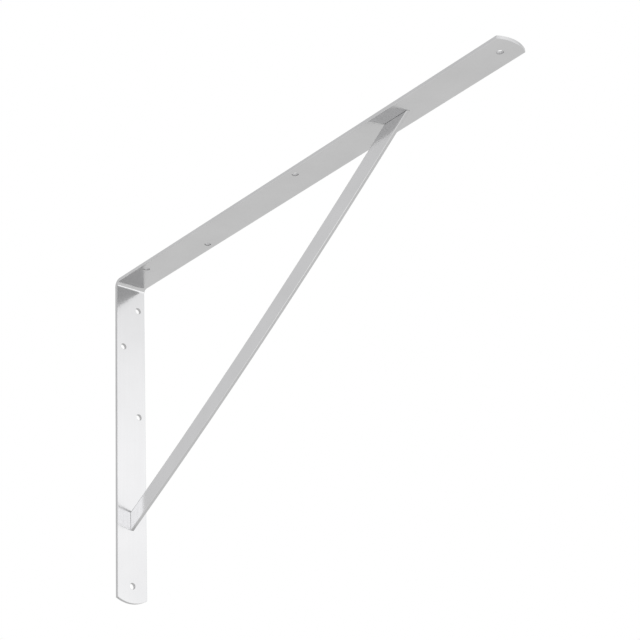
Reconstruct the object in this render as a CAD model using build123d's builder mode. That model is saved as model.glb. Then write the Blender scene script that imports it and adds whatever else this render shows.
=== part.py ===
import os

from build123d import *

# Shelf bracket: a flat steel strip folded into a short wall leg and a long shelf arm, with a flat brace bar
# standing on edge across the angle. X runs out from the wall, Y along the wall and Z up, in millimetres.
# The origin is the middle of the wall leg's back face.

# Folded strip
strip_width = 30
strip_thickness = 3
leg_length = 300  # shelf face down to the tip of the leg
arm_length = 490  # wall face out to the tip of the arm
bend_radius = 4  # inside of the fold
end_radius = 30  # arc cut across each free end
edge_break = 0.3  # bevel left along the long edges

# Screw holes, staggered to either side of the middle line, with the last one of each limb on it
hole_diameter = 5.5
hole_stagger = 8
end_hole_inset = 15  # tip of a limb back to the middle of its last hole
leg_hole_drops = [26, 65, 130]  # below the shelf face
arm_hole_reaches = [40, 110, 250]  # out from the wall face
leg_hole_sides = [1, -1, 1]
arm_hole_sides = [-1, 1, -1]

# Brace bar
brace_width = 15
brace_thickness = 3
brace_foot_drop = 219  # shelf face down to the upper corner of the foot
brace_head_reach = 351  # wall face out to the inner corner of the head
brace_bow = 4.7  # outward bow of the bar between foot and head
brace_edge_break = 0.5

# Heights measured from the origin
shelf_height = leg_length / 2
leg_tip_height = shelf_height - leg_length
arm_underside_height = shelf_height - strip_thickness

leg_holes = [(side * hole_stagger, shelf_height - drop) for side, drop in zip(leg_hole_sides, leg_hole_drops)]
leg_holes.append((0, leg_tip_height + end_hole_inset))
arm_holes = [(reach, side * hole_stagger) for side, reach in zip(arm_hole_sides, arm_hole_reaches)]
arm_holes.append((arm_length - end_hole_inset, 0))

# Folded strip: a bar section swept round the fold, its ends trimmed to an arc, then drilled
half_thickness = strip_thickness / 2
with BuildPart() as angle_strip:
    with BuildLine(Plane.XZ) as fold:
        FilletPolyline(
            (half_thickness, leg_tip_height),
            (half_thickness, shelf_height - half_thickness),
            (arm_length, shelf_height - half_thickness),
            radius=bend_radius + half_thickness,
        )
    with BuildSketch(Plane.XY.offset(leg_tip_height)) as section:
        with Locations((half_thickness, 0)):
            Rectangle(strip_thickness, strip_width)
        chamfer(section.vertices(), edge_break)
    sweep(path=fold.line)

    with BuildSketch(Plane.XY.offset(shelf_height)):
        with Locations((arm_length, 0)):
            SlotOverall(arm_length + 2 * end_radius, 2 * end_radius, align=(Align.MAX, Align.CENTER))
    extrude(amount=-leg_length, mode=Mode.INTERSECT)
    with BuildSketch(Plane.YZ):
        with Locations((0, leg_tip_height)):
            SlotOverall(
                leg_length + 2 * end_radius, 2 * end_radius, rotation=90, align=(Align.MIN, Align.CENTER)
            )
    extrude(amount=arm_length, mode=Mode.INTERSECT)

    with Locations(Plane.YZ.offset(strip_thickness)):
        with Locations(*leg_holes):
            Hole(hole_diameter / 2, depth=strip_thickness)
    with Locations(Plane.XY.offset(shelf_height)):
        with Locations(*arm_holes):
            Hole(hole_diameter / 2, depth=strip_thickness)
angle_strip.part.label = "angle_strip"

# Brace: a slightly bowed flat bar, cut flush with the leg's front and the arm's underside
foot = (strip_thickness, shelf_height - brace_foot_drop)
head = (brace_head_reach, arm_underside_height)
inner_edge = SagittaArc(head, foot, brace_bow, mode=Mode.PRIVATE)
with BuildPart() as brace:
    with BuildSketch(Plane.XZ):
        with Locations(inner_edge.arc_center):
            Circle(inner_edge.radius + brace_width)
            Circle(inner_edge.radius, mode=Mode.SUBTRACT)
        with Locations((strip_thickness, arm_underside_height)):
            Rectangle(arm_length, leg_length, align=(Align.MIN, Align.MAX), mode=Mode.INTERSECT)
    extrude(amount=brace_thickness / 2, both=True)
    chamfer(brace.edges().filter_by(GeomType.CIRCLE), brace_edge_break)
brace.part.label = "brace"

os.makedirs("parts", exist_ok=True)
export_step(angle_strip.part, "parts/angle_strip.step")
export_step(brace.part, "parts/brace.step")
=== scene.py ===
import math

import bpy
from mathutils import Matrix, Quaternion, Vector


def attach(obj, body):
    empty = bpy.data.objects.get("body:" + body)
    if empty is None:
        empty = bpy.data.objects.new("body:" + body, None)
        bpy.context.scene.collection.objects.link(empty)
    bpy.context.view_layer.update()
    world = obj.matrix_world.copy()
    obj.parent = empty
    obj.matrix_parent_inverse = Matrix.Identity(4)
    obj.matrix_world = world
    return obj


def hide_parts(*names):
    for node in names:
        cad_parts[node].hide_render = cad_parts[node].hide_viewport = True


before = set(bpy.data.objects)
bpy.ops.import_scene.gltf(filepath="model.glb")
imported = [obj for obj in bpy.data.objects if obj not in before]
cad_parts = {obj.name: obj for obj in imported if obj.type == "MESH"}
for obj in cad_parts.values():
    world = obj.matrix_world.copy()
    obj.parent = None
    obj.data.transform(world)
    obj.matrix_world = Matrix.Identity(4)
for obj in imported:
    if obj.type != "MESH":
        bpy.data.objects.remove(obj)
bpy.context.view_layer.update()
mm = 0.001
print("frame loaded with", ", ".join(sorted(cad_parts)))


# adds one node, sets its properties and feeds its sockets from values, sockets or other nodes
def addNode(tree, kind, feeds=None, **settings):
    node = tree.nodes.new(kind)
    for name, value in settings.items():
        setattr(node, name, value)
    for socket, feed in (feeds or {}).items():
        if isinstance(feed, bpy.types.Node):
            feed = next(output for output in feed.outputs if output.enabled)
        if isinstance(feed, bpy.types.NodeSocket):
            tree.links.new(feed, node.inputs[socket])
        else:
            node.inputs[socket].default_value = feed
    return node


def linearColour(hexColour):
    shares = [int(hexColour[start:start + 2], 16) / 255 for start in (1, 3, 5)]
    linear = [share / 12.92 if share <= 0.04045 else ((share + 0.055) / 1.055) ** 2.4 for share in shares]
    return linear + [1]


# Bright zinc plate on cold-rolled steel: a smooth, pale grey mirror with softened reflections, faint streaks
# along the rolling direction, cloudy patches from the bath, burnished corners and duller cut faces, some
# darkened further by painted shade
zincFinish = {
    "colour": "#C3C3C4",
    "roughness": (0.15, 0.20),  # smoothest and roughest
    "cloudSize": 38 * mm,
    "cloudDepth": 0.025,  # share that the tone moves either way
    "cloudSpan": (0.3, 0.7),  # noise at the darkest and at the palest
    "grainWidth": 1.4 * mm,  # real rolling lines are near 0.1 mm, drawn wider so that they show
    "grainLength": 90 * mm,
    "grainRelief": 0.003 * mm,
    "mixedSpan": (0.7, 1.3),  # grain and cloud noise added, at the smoothest and at the roughest
    "waveLength": 70 * mm,
    "waveRelief": 0.12 * mm,
    "wearBand": 0.9 * mm,
    "wearLift": 0.05,
    "cutDepth": 0.15,  # share of the tone that a punched hole loses
    "cutRoughness": 0.20,  # added in a punched hole
}


def makeZincPlate(finish):
    material = bpy.data.materials.new("brightZincPlate")
    material.use_nodes = True
    tree = material.node_tree
    shader = tree.nodes["Principled BSDF"]
    shader.inputs["Metallic"].default_value = 1

    # flatPlace runs along, across and through the stock, so the streaks follow the fold
    flatPlace = addNode(tree, "ShaderNodeAttribute", attribute_name="flatPlace").outputs["Vector"]
    edgeDistance = addNode(tree, "ShaderNodeAttribute", attribute_name="edgeDistance").outputs["Fac"]
    cutFaceAndShade = addNode(tree, "ShaderNodeAttribute", attribute_name="cutFaceAndShade").outputs["Fac"]
    clouds = addNode(tree, "ShaderNodeTexNoise", {
        "Vector": flatPlace, "Scale": 1 / finish["cloudSize"], "Detail": 3.0, "Roughness": 0.55})
    grainScale = (1 / finish["grainLength"], 1 / finish["grainWidth"], 1 / finish["grainWidth"])
    grainPlace = addNode(tree, "ShaderNodeMapping", {"Vector": flatPlace, "Scale": grainScale})
    grain = addNode(tree, "ShaderNodeTexNoise", {"Vector": grainPlace, "Scale": 1.0, "Detail": 2.0})
    waves = addNode(tree, "ShaderNodeTexNoise", {
        "Vector": flatPlace, "Scale": 1 / finish["waveLength"], "Detail": 0.0})

    # corners rubbed brighter in handling, in a band of uneven width
    ragged = addNode(tree, "ShaderNodeMath", {0: clouds, 1: finish["wearBand"]}, operation="MULTIPLY")
    wear = addNode(tree, "ShaderNodeMapRange", {
        "Value": edgeDistance, "From Min": 0.0, "From Max": ragged, "To Min": 1.0, "To Max": 0.0},
        interpolation_type="SMOOTHSTEP")
    darkest, palest = finish["cloudSpan"]
    cloudTone = addNode(tree, "ShaderNodeMapRange", {
        "Value": clouds, "From Min": darkest, "From Max": palest,
        "To Min": 1 - finish["cloudDepth"], "To Max": 1 + finish["cloudDepth"]})
    worn = addNode(tree, "ShaderNodeMath", {
        0: wear, 1: finish["wearLift"], 2: cloudTone}, operation="MULTIPLY_ADD")
    # cut faces lose tone: partly duller sheared steel, partly painted shade on the leg's cut faces and the
    # brace's outer face
    tone = addNode(tree, "ShaderNodeMath", {
        0: cutFaceAndShade, 1: -finish["cutDepth"], 2: worn}, operation="MULTIPLY_ADD")
    colour = addNode(tree, "ShaderNodeHueSaturation", {
        "Color": linearColour(finish["colour"]), "Value": tone})
    tree.links.new(colour.outputs["Color"], shader.inputs["Base Color"])

    mixedGrain = addNode(tree, "ShaderNodeMath", {0: grain, 1: clouds}, operation="ADD")
    smoothFrom, roughFrom = finish["mixedSpan"]
    smooth, rough = finish["roughness"]
    roughness = addNode(tree, "ShaderNodeMapRange", {
        "Value": mixedGrain, "From Min": smoothFrom, "From Max": roughFrom,
        "To Min": smooth, "To Max": rough})
    cutRough = addNode(tree, "ShaderNodeMath", {
        0: cutFaceAndShade, 1: finish["cutRoughness"], 2: roughness}, operation="MULTIPLY_ADD")
    tree.links.new(cutRough.outputs["Value"], shader.inputs["Roughness"])

    waveBump = addNode(tree, "ShaderNodeBump", {"Height": waves, "Distance": finish["waveRelief"]})
    grainBump = addNode(tree, "ShaderNodeBump", {
        "Height": grain, "Distance": finish["grainRelief"], "Normal": waveBump})
    tree.links.new(grainBump.outputs["Normal"], shader.inputs["Normal"])
    return material


zincPlate = makeZincPlate(zincFinish)
print("zinc plate mixed")


cornerAngle = math.radians(40)  # an edge that turns more than this is a corner
cutTilt = 0.5  # a face whose normal has less than this through the stock is a cut one


# starts a tree whose inputs are listed by the kind of their sockets
def startTree(name, sockets):
    tree = bpy.data.node_groups.new(name, "GeometryNodeTree")
    tree.interface.new_socket("Geometry", in_out="INPUT", socket_type="NodeSocketGeometry")
    for kind, inputs in sockets.items():
        for socket in inputs:
            tree.interface.new_socket(socket, in_out="INPUT", socket_type=kind)
    tree.interface.new_socket("Geometry", in_out="OUTPUT", socket_type="NodeSocketGeometry")
    return tree, addNode(tree, "NodeGroupInput").outputs


# runs a tree on some points, rounds its sharp edges and keeps the result as a plain mesh
def bakePiece(name, tree, points, values, edgeRadius):
    seed = bpy.data.meshes.new(name)
    seed.from_pydata(points, [], [])
    piece = bpy.data.objects.new(name, seed)
    bpy.context.scene.collection.objects.link(piece)
    nodes = piece.modifiers.new("nodes", "NODES")
    nodes.node_group = tree
    for item in tree.interface.items_tree:
        if item.in_out == "INPUT" and item.name in values:
            nodes[item.identifier] = values[item.name]
    bevel = piece.modifiers.new("bevel", "BEVEL")
    bevel.width = edgeRadius
    bevel.segments = 3
    bevel.limit_method = "WEIGHT"
    bevel.use_clamp_overlap = False
    normals = piece.modifiers.new("normals", "WEIGHTED_NORMAL")
    normals.keep_sharp = True

    evaluated = piece.evaluated_get(bpy.context.evaluated_depsgraph_get())
    baked = bpy.data.meshes.new_from_object(evaluated)
    piece.modifiers.clear()
    piece.data = baked
    baked.name = name
    print(name, "baked with", sum(len(face.vertices) - 2 for face in baked.polygons), "triangles")
    return piece


# Folded strip: a flat blank with arced ends, punched and then folded into leg and arm
strip = {
    "width": 30 * mm,
    "thickness": 3 * mm,
    "legLength": 300 * mm,
    "armLength": 490 * mm,
    "bendRadius": 4 * mm,
    "endRadius": 30 * mm,
    "endBlend": 22 * mm,  # stretch over which the cross lines take up the arc of the end
    "holeDiameter": 5.5 * mm,
    "holeFacets": 64,
    "mergeGap": 0.01 * mm,  # points closer than this, where a hole meets a cross line, become one
    "legHoles": [(26 * mm, 8 * mm), (65 * mm, -8 * mm), (130 * mm, 8 * mm), (285 * mm, 0)],  # drop, side
    "armHoles": [(40 * mm, -8 * mm), (110 * mm, 8 * mm), (250 * mm, -8 * mm), (475 * mm, 0)],  # reach, side
    "edgeRadius": 0.25 * mm,  # left on every corner by tumbling
    "legDullnessAndShade": 1.0,  # of a punched hole's dullness, along the sides and the end; twice the arm's, as painted shade on the leg's end
    "armDullness": 0.5,
    "legSteps": 60,
    "bendSteps": 24,
    "armSteps": 98,
    "crossSteps": 24,
}


def makeStripTree(material):
    tree, sizes = startTree("foldedStrip", {
        "NodeSocketFloat": [
            "Width", "Thickness", "Leg Straight", "Bend Length", "Arm Straight", "Middle Radius",
            "End Radius", "End Blend", "Hole Radius", "Merge Gap", "Leg Dullness And Shade", "Arm Dullness"],
        "NodeSocketVector": ["Bend Centre"],
        "NodeSocketInt": ["Hole Facets", "Leg Steps", "Bend Steps", "Arm Steps", "Cross Steps"]})

    # a box one unit long, with a row of points for every step and one more line halfway through
    bendEnd = addNode(tree, "ShaderNodeMath", {0: sizes["Leg Steps"], 1: sizes["Bend Steps"]})
    steps = addNode(tree, "ShaderNodeMath", {0: bendEnd, 1: sizes["Arm Steps"]})
    columns = addNode(tree, "ShaderNodeMath", {0: steps, 1: 1.0})
    rows = addNode(tree, "ShaderNodeMath", {0: sizes["Cross Steps"], 1: 1.0})
    boxSize = addNode(tree, "ShaderNodeCombineXYZ", {0: 1.0, 1: sizes["Width"], 2: sizes["Thickness"]})
    box = addNode(tree, "GeometryNodeMeshCube", {
        "Size": boxSize, "Vertices X": columns, "Vertices Y": rows, "Vertices Z": 3})

    # steps spread along the leg, the bend and the arm
    boxPoint = addNode(tree, "GeometryNodeInputPosition")
    boxPlace = addNode(tree, "ShaderNodeSeparateXYZ", {0: boxPoint}).outputs
    share = addNode(tree, "ShaderNodeMath", {0: boxPlace["X"], 1: 0.5})
    step = addNode(tree, "ShaderNodeMath", {0: share, 1: steps}, operation="MULTIPLY")
    onLeg = addNode(tree, "ShaderNodeMapRange", {
        "Value": step, "From Min": 0.0, "From Max": sizes["Leg Steps"],
        "To Max": sizes["Leg Straight"]})
    onBend = addNode(tree, "ShaderNodeMapRange", {
        "Value": step, "From Min": sizes["Leg Steps"], "From Max": bendEnd,
        "To Max": sizes["Bend Length"]})
    onArm = addNode(tree, "ShaderNodeMapRange", {
        "Value": step, "From Min": bendEnd, "From Max": steps,
        "To Max": sizes["Arm Straight"]})
    legAndBend = addNode(tree, "ShaderNodeMath", {0: onLeg, 1: onBend})
    along = addNode(tree, "ShaderNodeMath", {0: legAndBend, 1: onArm})

    # both ends drawn back to an arc
    armStart = addNode(tree, "ShaderNodeMath", {0: sizes["Leg Straight"], 1: sizes["Bend Length"]})
    blankLength = addNode(tree, "ShaderNodeMath", {0: armStart, 1: sizes["Arm Straight"]})
    radiusSquared = addNode(tree, "ShaderNodeMath", {0: sizes["End Radius"], 1: 2.0}, operation="POWER")
    sideSquared = addNode(tree, "ShaderNodeMath", {
        0: boxPlace["Y"], 1: boxPlace["Y"]}, operation="MULTIPLY")
    arcSquared = addNode(tree, "ShaderNodeMath", {0: radiusSquared, 1: sideSquared}, operation="SUBTRACT")
    arcReach = addNode(tree, "ShaderNodeMath", {0: arcSquared}, operation="SQRT")
    sag = addNode(tree, "ShaderNodeMath", {0: sizes["End Radius"], 1: arcReach}, operation="SUBTRACT")
    armBlendStart = addNode(tree, "ShaderNodeMath", {
        0: blankLength, 1: sizes["End Blend"]}, operation="SUBTRACT")
    legPull = addNode(tree, "ShaderNodeMapRange", {
        "Value": along, "From Min": 0.0, "From Max": sizes["End Blend"], "To Min": sag, "To Max": 0.0})
    armPull = addNode(tree, "ShaderNodeMapRange", {
        "Value": along, "From Min": armBlendStart, "From Max": blankLength, "To Min": 0.0, "To Max": sag})
    legDrawn = addNode(tree, "ShaderNodeMath", {0: along, 1: legPull})
    drawn = addNode(tree, "ShaderNodeMath", {0: legDrawn, 1: armPull}, operation="SUBTRACT")
    blankPlace = addNode(tree, "ShaderNodeCombineXYZ", {0: drawn, 1: boxPlace["Y"], 2: boxPlace["Z"]})
    blank = addNode(tree, "GeometryNodeSetPosition", {"Geometry": box, "Position": blankPlace})

    # one punch at each point, with a ring of points halfway through
    punchDepth = addNode(tree, "ShaderNodeMath", {0: sizes["Thickness"], 1: 2.0}, operation="MULTIPLY")
    punch = addNode(tree, "GeometryNodeMeshCylinder", {
        "Vertices": sizes["Hole Facets"], "Side Segments": 2,
        "Radius": sizes["Hole Radius"], "Depth": punchDepth})
    punches = addNode(tree, "GeometryNodeInstanceOnPoints", {
        "Points": sizes["Geometry"], "Instance": punch.outputs["Mesh"]})
    cutters = addNode(tree, "GeometryNodeRealizeInstances", {"Geometry": punches})
    punched = addNode(tree, "GeometryNodeMeshBoolean", {
        "Mesh 1": blank, "Mesh 2": cutters}, solver="EXACT")
    clean = addNode(tree, "GeometryNodeMergeByDistance", {
        "Geometry": punched, "Distance": sizes["Merge Gap"]})

    # distance from each corner line of the stock, for the wear
    flat = addNode(tree, "GeometryNodeInputPosition")
    flatAxes = addNode(tree, "ShaderNodeSeparateXYZ", {0: flat}).outputs
    halfWidth = addNode(tree, "ShaderNodeMath", {0: sizes["Width"], 1: 0.5}, operation="MULTIPLY")
    halfThickness = addNode(tree, "ShaderNodeMath", {0: sizes["Thickness"], 1: 0.5}, operation="MULTIPLY")
    side = addNode(tree, "ShaderNodeMath", {0: flatAxes["Y"]}, operation="ABSOLUTE")
    sideGap = addNode(tree, "ShaderNodeMath", {0: halfWidth, 1: side}, operation="SUBTRACT")
    depth = addNode(tree, "ShaderNodeMath", {0: flatAxes["Z"]}, operation="ABSOLUTE")
    depthGap = addNode(tree, "ShaderNodeMath", {0: halfThickness, 1: depth}, operation="SUBTRACT")
    middle = addNode(tree, "ShaderNodeCombineXYZ", {0: flatAxes["X"], 1: flatAxes["Y"]})
    nearHole = addNode(tree, "GeometryNodeProximity", {
        "Geometry": sizes["Geometry"], "Sample Position": middle}, target_element="POINTS")
    holeGap = addNode(tree, "ShaderNodeMath", {
        0: nearHole.outputs["Distance"], 1: sizes["Hole Radius"]}, operation="SUBTRACT")
    outlineGap = addNode(tree, "ShaderNodeMath", {0: sideGap, 1: holeGap}, operation="MINIMUM")
    edgeGap = addNode(tree, "ShaderNodeMath", {0: outlineGap, 1: depthGap}, operation="MAXIMUM")
    placed = addNode(tree, "GeometryNodeStoreNamedAttribute", {
        "Geometry": clean, "Name": "flatPlace", "Value": flat}, data_type="FLOAT_VECTOR")
    marked = addNode(tree, "GeometryNodeStoreNamedAttribute", {
        "Geometry": placed, "Name": "edgeDistance", "Value": edgeGap})

    # cut faces, dullest in the punched holes; the leg's darker than the arm's as painted shade
    normal = addNode(tree, "GeometryNodeInputNormal")
    facing = addNode(tree, "ShaderNodeVectorMath", {0: normal}, operation="ABSOLUTE")
    facingAxes = addNode(tree, "ShaderNodeSeparateXYZ", {0: facing}).outputs
    isCut = addNode(tree, "ShaderNodeMath", {0: facingAxes["Z"], 1: cutTilt}, operation="LESS_THAN")
    onRim = addNode(tree, "ShaderNodeMath", {0: holeGap, 1: sizes["Thickness"]}, operation="LESS_THAN")
    slitDullnessAndShade = addNode(tree, "ShaderNodeMapRange", {
        "Value": flatAxes["X"], "From Min": sizes["Leg Straight"], "From Max": armStart,
        "To Min": sizes["Leg Dullness And Shade"], "To Max": sizes["Arm Dullness"]})
    dullness = addNode(tree, "ShaderNodeMath", {0: onRim, 1: slitDullnessAndShade}, operation="MAXIMUM")
    cutDullnessAndShade = addNode(tree, "ShaderNodeMath", {0: isCut, 1: dullness}, operation="MULTIPLY")
    dulled = addNode(tree, "GeometryNodeStoreNamedAttribute", {
        "Geometry": marked, "Name": "cutFaceAndShade", "Value": cutDullnessAndShade}, domain="FACE")

    # the blank stands up as a long leg, then turns about the bend's centre
    pastLeg = addNode(tree, "ShaderNodeMath", {
        0: flatAxes["X"], 1: sizes["Leg Straight"]}, operation="SUBTRACT")
    inBend = addNode(tree, "ShaderNodeClamp", {
        "Value": pastLeg, "Min": 0.0, "Max": sizes["Bend Length"]})
    turned = addNode(tree, "ShaderNodeMath", {0: inBend, 1: sizes["Bend Length"]}, operation="DIVIDE")
    angle = addNode(tree, "ShaderNodeMath", {0: turned, 1: math.pi / 2}, operation="MULTIPLY")
    straight = addNode(tree, "ShaderNodeMath", {0: pastLeg, 1: inBend}, operation="SUBTRACT")
    radius = addNode(tree, "ShaderNodeMath", {0: sizes["Middle Radius"], 1: flatAxes["Z"]})
    outward = addNode(tree, "ShaderNodeMath", {0: radius, 1: -1.0}, operation="MULTIPLY")
    fromCentre = addNode(tree, "ShaderNodeCombineXYZ", {0: outward, 1: flatAxes["Y"], 2: straight})
    upright = addNode(tree, "ShaderNodeVectorMath", {0: fromCentre, 1: sizes["Bend Centre"]})
    folded = addNode(tree, "ShaderNodeVectorRotate", {
        "Vector": upright, "Center": sizes["Bend Centre"], "Angle": angle}, rotation_type="Y_AXIS")

    # corners are found on the flat blank, so the fold itself is not one
    turn = addNode(tree, "GeometryNodeInputMeshEdgeAngle").outputs["Unsigned Angle"]
    isCorner = addNode(tree, "ShaderNodeMath", {0: turn, 1: cornerAngle}, operation="GREATER_THAN")
    weighted = addNode(tree, "GeometryNodeStoreNamedAttribute", {
        "Geometry": dulled, "Name": "bevel_weight_edge", "Value": isCorner}, domain="EDGE")
    bent = addNode(tree, "GeometryNodeSetPosition", {"Geometry": weighted, "Position": folded})
    smooth = addNode(tree, "GeometryNodeSetShadeSmooth", {"Geometry": bent})
    realized = addNode(tree, "GeometryNodeRealizeInstances", {"Geometry": smooth})
    finished = addNode(tree, "GeometryNodeSetMaterial", {"Geometry": realized, "Material": material})
    addNode(tree, "NodeGroupOutput", {"Geometry": finished})
    return tree


def makeStrip(sizes, material):
    outerRadius = sizes["bendRadius"] + sizes["thickness"]
    middleRadius = sizes["bendRadius"] + sizes["thickness"] / 2
    legStraight = sizes["legLength"] - outerRadius
    bendLength = middleRadius * math.pi / 2
    punchPoints = [(sizes["legLength"] - drop, side, 0) for drop, side in sizes["legHoles"]]
    wallPlace = legStraight + bendLength - outerRadius  # on the blank, where the arm's reaches count from
    punchPoints += [(wallPlace + reach, side, 0) for reach, side in sizes["armHoles"]]
    return bakePiece("foldedStrip", makeStripTree(material), punchPoints, {
        "Width": sizes["width"],
        "Thickness": sizes["thickness"],
        "Leg Straight": legStraight,
        "Bend Length": bendLength,
        "Arm Straight": sizes["armLength"] - outerRadius,
        "Middle Radius": middleRadius,
        "Bend Centre": (outerRadius, 0, sizes["legLength"] / 2 - outerRadius),
        "End Radius": sizes["endRadius"],
        "End Blend": sizes["endBlend"],
        "Hole Radius": sizes["holeDiameter"] / 2,
        "Hole Facets": sizes["holeFacets"],
        "Merge Gap": sizes["mergeGap"],
        "Leg Dullness And Shade": sizes["legDullnessAndShade"],
        "Arm Dullness": sizes["armDullness"],
        "Leg Steps": sizes["legSteps"],
        "Bend Steps": sizes["bendSteps"],
        "Arm Steps": sizes["armSteps"],
        "Cross Steps": sizes["crossSteps"],
    }, sizes["edgeRadius"])


foldedStrip = makeStrip(strip, zincPlate)
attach(foldedStrip, "root")
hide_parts("angle_strip")


# Brace: a flat bar on edge, bowed a little away from the corner and cut flush with leg and arm
brace = {
    "width": 15 * mm,
    "thickness": 3 * mm,
    "footDrop": 219 * mm,  # shelf face down to the upper corner of the foot
    "headReach": 351 * mm,  # wall face out to the inner corner of the head
    "bow": 4.7 * mm,
    "edgeRadius": 1.0 * mm,  # where the slitting knives rolled the corners over
    "burrShare": 0.4,  # of that radius, on every other corner
    "rollShare": 0.4,  # of the length, over which the roll passes from the inner to the outer corner
    "slitDullnessAndShade": 0.4,  # of a punched hole's dullness, on the cut faces: partly duller sheared steel, partly painted shade on the outer face
    "longSteps": 96,
    "crossSteps": 8,
}


def makeBraceTree(material):
    tree, sizes = startTree("bowedBar", {
        "NodeSocketFloat": [
            "Width", "Thickness", "Inner Radius", "Leg Face", "Arm Face", "Bar Length", "Burr Share",
            "Roll Share", "Slit Dullness And Shade"],
        "NodeSocketVector": ["Bow Centre"],
        "NodeSocketInt": ["Long Steps", "Cross Steps"]})

    # a box one unit long, standing on edge
    columns = addNode(tree, "ShaderNodeMath", {0: sizes["Long Steps"], 1: 1.0})
    rows = addNode(tree, "ShaderNodeMath", {0: sizes["Cross Steps"], 1: 1.0})
    boxSize = addNode(tree, "ShaderNodeCombineXYZ", {0: 1.0, 1: sizes["Thickness"], 2: sizes["Width"]})
    box = addNode(tree, "GeometryNodeMeshCube", {
        "Size": boxSize, "Vertices X": columns, "Vertices Y": 3, "Vertices Z": rows})

    # each line along the bar is an arc about the bow's centre, from the leg's face to the arm's
    boxPoint = addNode(tree, "GeometryNodeInputPosition")
    boxPlace = addNode(tree, "ShaderNodeSeparateXYZ", {0: boxPoint}).outputs
    centre = addNode(tree, "ShaderNodeSeparateXYZ", {0: sizes["Bow Centre"]}).outputs
    share = addNode(tree, "ShaderNodeMath", {0: boxPlace["X"], 1: 0.5})
    halfWidth = addNode(tree, "ShaderNodeMath", {0: sizes["Width"], 1: 0.5}, operation="MULTIPLY")
    across = addNode(tree, "ShaderNodeMath", {0: halfWidth, 1: boxPlace["Z"]}, operation="SUBTRACT")
    radius = addNode(tree, "ShaderNodeMath", {0: sizes["Inner Radius"], 1: across})
    legOffset = addNode(tree, "ShaderNodeMath", {
        0: sizes["Leg Face"], 1: centre["X"]}, operation="SUBTRACT")
    armOffset = addNode(tree, "ShaderNodeMath", {
        0: sizes["Arm Face"], 1: centre["Z"]}, operation="SUBTRACT")
    legCosine = addNode(tree, "ShaderNodeMath", {0: legOffset, 1: radius}, operation="DIVIDE")
    armSine = addNode(tree, "ShaderNodeMath", {0: armOffset, 1: radius}, operation="DIVIDE")
    legTurn = addNode(tree, "ShaderNodeMath", {0: legCosine}, operation="ARCCOSINE")
    footAngle = addNode(tree, "ShaderNodeMath", {0: legTurn, 1: -1.0}, operation="MULTIPLY")
    headAngle = addNode(tree, "ShaderNodeMath", {0: armSine}, operation="ARCSINE")
    angle = addNode(tree, "ShaderNodeMapRange", {
        "Value": share, "To Min": footAngle, "To Max": headAngle})
    cosine = addNode(tree, "ShaderNodeMath", {0: angle}, operation="COSINE")
    sine = addNode(tree, "ShaderNodeMath", {0: angle}, operation="SINE")
    outX = addNode(tree, "ShaderNodeMath", {
        0: radius, 1: cosine, 2: centre["X"]}, operation="MULTIPLY_ADD")
    outZ = addNode(tree, "ShaderNodeMath", {
        0: radius, 1: sine, 2: centre["Z"]}, operation="MULTIPLY_ADD")
    bowed = addNode(tree, "ShaderNodeCombineXYZ", {0: outX, 1: boxPlace["Y"], 2: outZ})

    # where each point lay on the straight bar, and how far it is from a corner line
    along = addNode(tree, "ShaderNodeMath", {0: share, 1: sizes["Bar Length"]}, operation="MULTIPLY")
    flat = addNode(tree, "ShaderNodeCombineXYZ", {0: along, 1: across, 2: boxPlace["Y"]})
    lift = addNode(tree, "ShaderNodeMath", {0: boxPlace["Z"]}, operation="ABSOLUTE")
    widthGap = addNode(tree, "ShaderNodeMath", {0: halfWidth, 1: lift}, operation="SUBTRACT")
    halfThickness = addNode(tree, "ShaderNodeMath", {0: sizes["Thickness"], 1: 0.5}, operation="MULTIPLY")
    depth = addNode(tree, "ShaderNodeMath", {0: boxPlace["Y"]}, operation="ABSOLUTE")
    depthGap = addNode(tree, "ShaderNodeMath", {0: halfThickness, 1: depth}, operation="SUBTRACT")
    edgeGap = addNode(tree, "ShaderNodeMath", {0: widthGap, 1: depthGap}, operation="MAXIMUM")
    placed = addNode(tree, "GeometryNodeStoreNamedAttribute", {
        "Geometry": box, "Name": "flatPlace", "Value": flat}, data_type="FLOAT_VECTOR")
    marked = addNode(tree, "GeometryNodeStoreNamedAttribute", {
        "Geometry": placed, "Name": "edgeDistance", "Value": edgeGap})

    # cut faces along the bar and at its ends, darkened partly as dull sheared steel and partly as painted
    # shade
    normal = addNode(tree, "GeometryNodeInputNormal")
    facing = addNode(tree, "ShaderNodeVectorMath", {0: normal}, operation="ABSOLUTE")
    facingAxes = addNode(tree, "ShaderNodeSeparateXYZ", {0: facing}).outputs
    isCut = addNode(tree, "ShaderNodeMath", {0: facingAxes["Y"], 1: cutTilt}, operation="LESS_THAN")
    cutDullnessAndShade = addNode(tree, "ShaderNodeMath", {
        0: isCut, 1: sizes["Slit Dullness And Shade"]}, operation="MULTIPLY")
    dulled = addNode(tree, "GeometryNodeStoreNamedAttribute", {
        "Geometry": marked, "Name": "cutFaceAndShade", "Value": cutDullnessAndShade}, domain="FACE")

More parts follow.
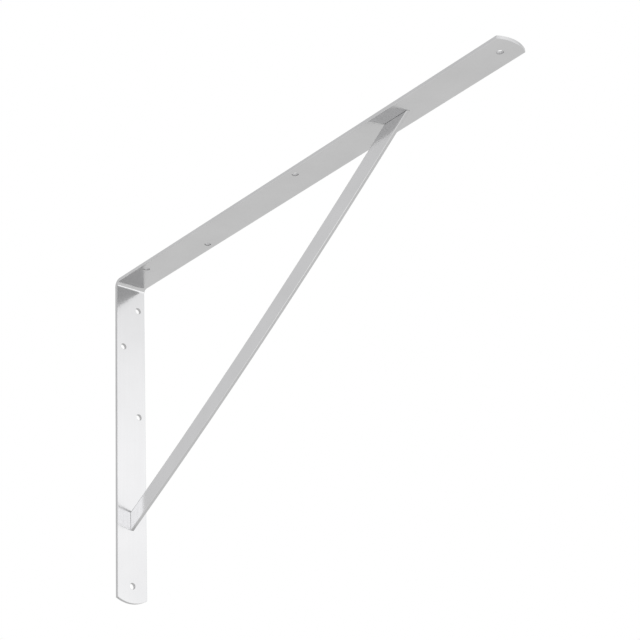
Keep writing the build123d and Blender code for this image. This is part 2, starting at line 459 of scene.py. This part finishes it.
    # on the -Y face the inner corner is rolled over at the foot and the outer one above
    turn = addNode(tree, "GeometryNodeInputMeshEdgeAngle").outputs["Unsigned Angle"]
    isCorner = addNode(tree, "ShaderNodeMath", {0: turn, 1: cornerAngle}, operation="GREATER_THAN")
    section = addNode(tree, "ShaderNodeMath", {
        0: sizes["Thickness"], 1: sizes["Width"]}, operation="MULTIPLY")
    longCorner = 0.24  # depth times lift over the section: a quarter on a long corner, less on an end
    cornerLimit = addNode(tree, "ShaderNodeMath", {0: section, 1: -longCorner}, operation="MULTIPLY")
    sides = addNode(tree, "ShaderNodeMath", {0: boxPlace["Y"], 1: lift}, operation="MULTIPLY")
    isRolled = addNode(tree, "ShaderNodeMath", {0: sides, 1: cornerLimit}, operation="LESS_THAN")
    innerRoll = addNode(tree, "ShaderNodeMapRange", {
        "Value": share, "From Max": sizes["Roll Share"], "To Min": 1.0, "To Max": sizes["Burr Share"]})
    outerRoll = addNode(tree, "ShaderNodeMapRange", {
        "Value": share, "From Max": sizes["Roll Share"], "To Min": sizes["Burr Share"], "To Max": 1.0})
    rolledShare = addNode(tree, "ShaderNodeMapRange", {
        "Value": across, "From Max": sizes["Width"], "To Min": innerRoll, "To Max": outerRoll})
    rolled = addNode(tree, "ShaderNodeMath", {0: isRolled, 1: rolledShare}, operation="MULTIPLY")
    cornerShare = addNode(tree, "ShaderNodeMath", {
        0: rolled, 1: sizes["Burr Share"]}, operation="MAXIMUM")
    cornerWeight = addNode(tree, "ShaderNodeMath", {0: isCorner, 1: cornerShare}, operation="MULTIPLY")
    weighted = addNode(tree, "GeometryNodeStoreNamedAttribute", {
        "Geometry": dulled, "Name": "bevel_weight_edge", "Value": cornerWeight}, domain="EDGE")

    bent = addNode(tree, "GeometryNodeSetPosition", {"Geometry": weighted, "Position": bowed})
    smooth = addNode(tree, "GeometryNodeSetShadeSmooth", {"Geometry": bent})
    realized = addNode(tree, "GeometryNodeRealizeInstances", {"Geometry": smooth})
    finished = addNode(tree, "GeometryNodeSetMaterial", {"Geometry": realized, "Material": material})
    addNode(tree, "NodeGroupOutput", {"Geometry": finished})
    return tree


def makeBrace(sizes, stock, material):
    shelfHeight = stock["legLength"] / 2
    foot = Vector((stock["thickness"], 0, shelfHeight - sizes["footDrop"]))
    head = Vector((sizes["headReach"], 0, shelfHeight - stock["thickness"]))
    chord = head - foot
    towardsCorner = Vector((-chord.z, 0, chord.x)).normalized()
    radius = (chord.length_squared / 4 + sizes["bow"] ** 2) / (2 * sizes["bow"])
    return bakePiece("braceBar", makeBraceTree(material), [(0, 0, 0)], {
        "Width": sizes["width"],
        "Thickness": sizes["thickness"],
        "Bow Centre": (foot + head) / 2 + towardsCorner * (radius - sizes["bow"]),
        "Inner Radius": radius,
        "Leg Face": foot.x,
        "Arm Face": head.z,
        "Bar Length": chord.length,
        "Burr Share": sizes["burrShare"],
        "Roll Share": sizes["rollShare"],
        "Slit Dullness And Shade": sizes["slitDullnessAndShade"],
        "Long Steps": sizes["longSteps"],
        "Cross Steps": sizes["crossSteps"],
    }, sizes["edgeRadius"])


braceBar = makeBrace(brace, strip, zincPlate)
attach(braceBar, "root")
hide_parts("brace")


# Studio: white surroundings, a pale floor far below, four softboxes out in front of the leg and two low ones
# beside the brace
studio = {
    "floorHeight": -0.9,
    "floorSize": 14,
    "floorColour": "#F4F4F3",
    "softboxes": {
        "keySoftbox": {"place": (1.56, -1.10, 0.56), "size": 1.2, "watts": 8.6},
        "fillSoftbox": {"place": (1.57, 1.08, 0.62), "size": 1.7, "watts": 4.9},
        "lowSoftbox": {"place": (0.30, -0.72, -0.51), "size": 1.0, "watts": 2.6},  # pale line up the brace
        "backSoftbox": {"place": (-0.42, -0.70, -0.32), "size": 1.0, "watts": 0.85},  # patch below its head
        "topSoftbox": {"place": (1.81, 0.20, 1.02), "size": 1.9, "watts": 5.2},
        "rimSoftbox": {"place": (1.57, 1.08, -0.08), "size": 1.0, "watts": 3.0},
    },
    "aim": (0.0, 0.0, -0.02),  # what every softbox faces
}


def makeFloor(sizes):
    half = sizes["floorSize"] / 2
    height = sizes["floorHeight"]
    mesh = bpy.data.meshes.new("studioFloor")
    corners = [(-half, -half, height), (half, -half, height), (half, half, height), (-half, half, height)]
    mesh.from_pydata(corners, [], [(0, 1, 2, 3)])
    floor = bpy.data.objects.new("studioFloor", mesh)
    bpy.context.scene.collection.objects.link(floor)

    # matt floor paint: pale and even, with no gloss
    paint = bpy.data.materials.new("mattFloorPaint")
    paint.use_nodes = True
    shader = paint.node_tree.nodes["Principled BSDF"]
    shader.inputs["Base Color"].default_value = linearColour(sizes["floorColour"])
    shader.inputs["Roughness"].default_value = 0.9
    shader.inputs["Specular IOR Level"].default_value = 0.0
    mesh.materials.append(paint)


def makeLights(sizes):
    world = bpy.data.worlds.new("whiteSurround")
    bpy.context.scene.world = world
    world.use_nodes = True
    background = world.node_tree.nodes["Background"]
    background.inputs["Color"].default_value = (1, 1, 1, 1)
    background.inputs["Strength"].default_value = 1.0

    for name, box in sizes["softboxes"].items():
        lamp = bpy.data.lights.new(name, "AREA")
        lamp.shape = "DISK"
        lamp.size = box["size"]
        lamp.energy = box["watts"]
        lamp.use_nodes = True
        tree = lamp.node_tree
        # bright in the middle and fading to nothing at the rim
        spot = addNode(tree, "ShaderNodeNewGeometry").outputs["Parametric"]
        fromMiddle = addNode(tree, "ShaderNodeVectorMath", {
            0: spot, 1: (0.5, 0.5, 0)}, operation="DISTANCE")
        fade = addNode(tree, "ShaderNodeMapRange", {
            "Value": fromMiddle.outputs["Value"], "From Min": 0.0, "From Max": 0.5,
            "To Min": 1.0, "To Max": 0.0}, interpolation_type="SMOOTHSTEP")
        tree.links.new(fade.outputs["Result"], tree.nodes["Emission"].inputs["Strength"])
        holder = bpy.data.objects.new(name, lamp)
        holder.location = box["place"]
        towards = Vector(sizes["aim"]) - holder.location
        holder.rotation_euler = towards.to_track_quat("-Z", "Y").to_euler()
        holder.visible_camera = False
        bpy.context.scene.collection.objects.link(holder)


makeFloor(studio)
makeLights(studio)
print("floor and lights placed")


# Camera: below the arm and out to the side, looking up into the angle
view = {
    "place": (1.169779, -0.804830, -0.537014),
    "aim": (0.257787, 0.003020, 0.016656),
    "roll": -3.235,  # degrees that the right-hand side dips
    "lens": 96.136,  # in millimetres, as is the sensor's width
    "sensor": 36,
}


def makeCamera(sizes):
    data = bpy.data.cameras.new("camera")
    data.lens = sizes["lens"]
    data.sensor_width = sizes["sensor"]
    camera = bpy.data.objects.new("camera", data)
    place = Vector(sizes["place"])
    sight = (Vector(sizes["aim"]) - place).normalized()
    level = sight.to_track_quat("-Z", "Y")
    camera.location = place
    camera.rotation_mode = "QUATERNION"
    camera.rotation_quaternion = Quaternion(sight, math.radians(-sizes["roll"])) @ level
    bpy.context.scene.collection.objects.link(camera)
    bpy.context.scene.camera = camera


makeCamera(view)
bpy.context.scene.view_settings.view_transform = "Standard"
print("camera set")
